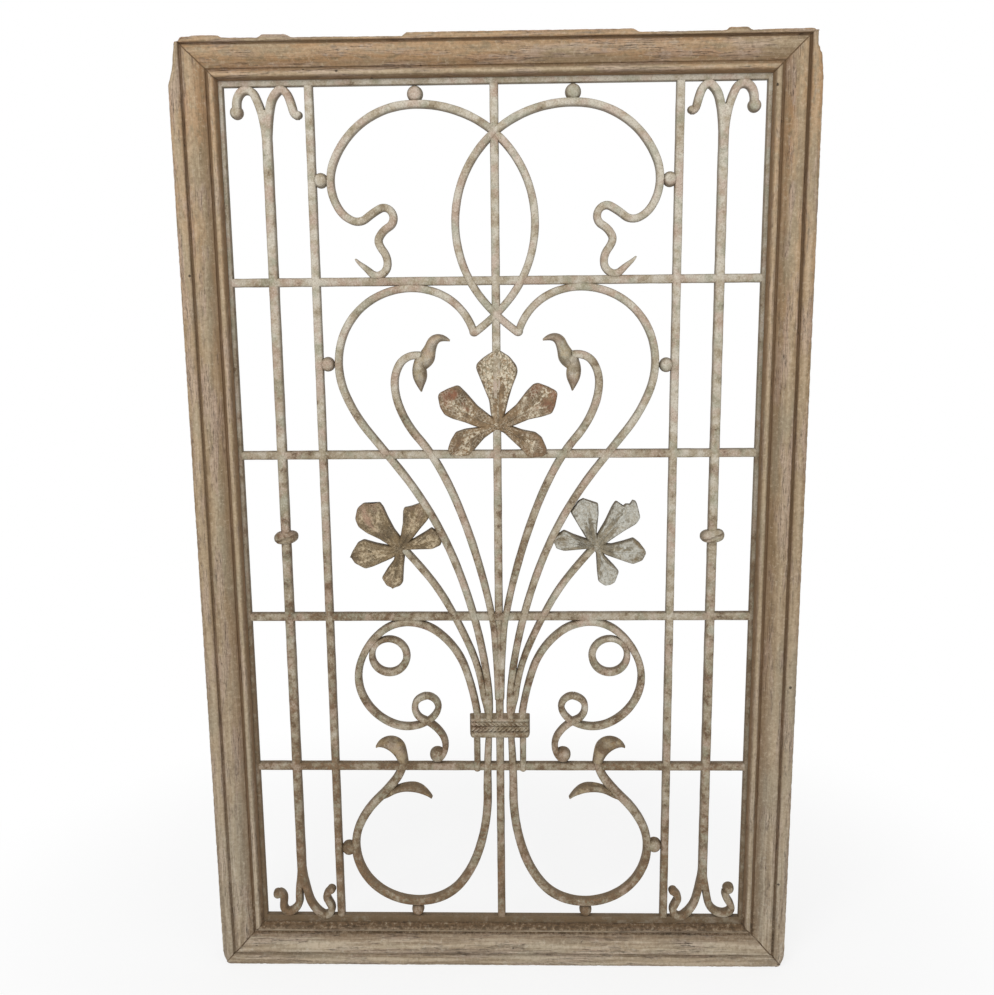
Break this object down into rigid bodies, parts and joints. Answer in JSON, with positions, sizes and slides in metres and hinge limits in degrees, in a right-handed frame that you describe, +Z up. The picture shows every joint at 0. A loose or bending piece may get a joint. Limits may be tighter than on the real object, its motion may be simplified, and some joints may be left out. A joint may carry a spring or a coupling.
{
  "type": "cast iron grille",
  "caption": "Ornamental cast iron grille of crossing bars, scrolls and flowers, held in the rebate of a mitred, moulded and weathered timber frame",
  "frame": {"origin": "middle of the underside of the bottom rail, at half the timber's depth", "axes": "+X to the right across the front, +Y to the back, +Z up; the front faces -Y"},
  "size_m": [0.954, 0.048, 1.496],
  "materials": {
    "iron": "old cream paint worn through to rust",
    "timber": "bare weathered timber",
    "steel": "dull, rusted"
  },
  "bodies": {
    "root": {"iron_grille": "iron", "bottom_rail": "timber", "top_rail": "timber", "left_stile": "timber", "right_stile": "timber", "grille_nails": "steel", "corner_nails": "steel"}
  },
  "joints": []
}
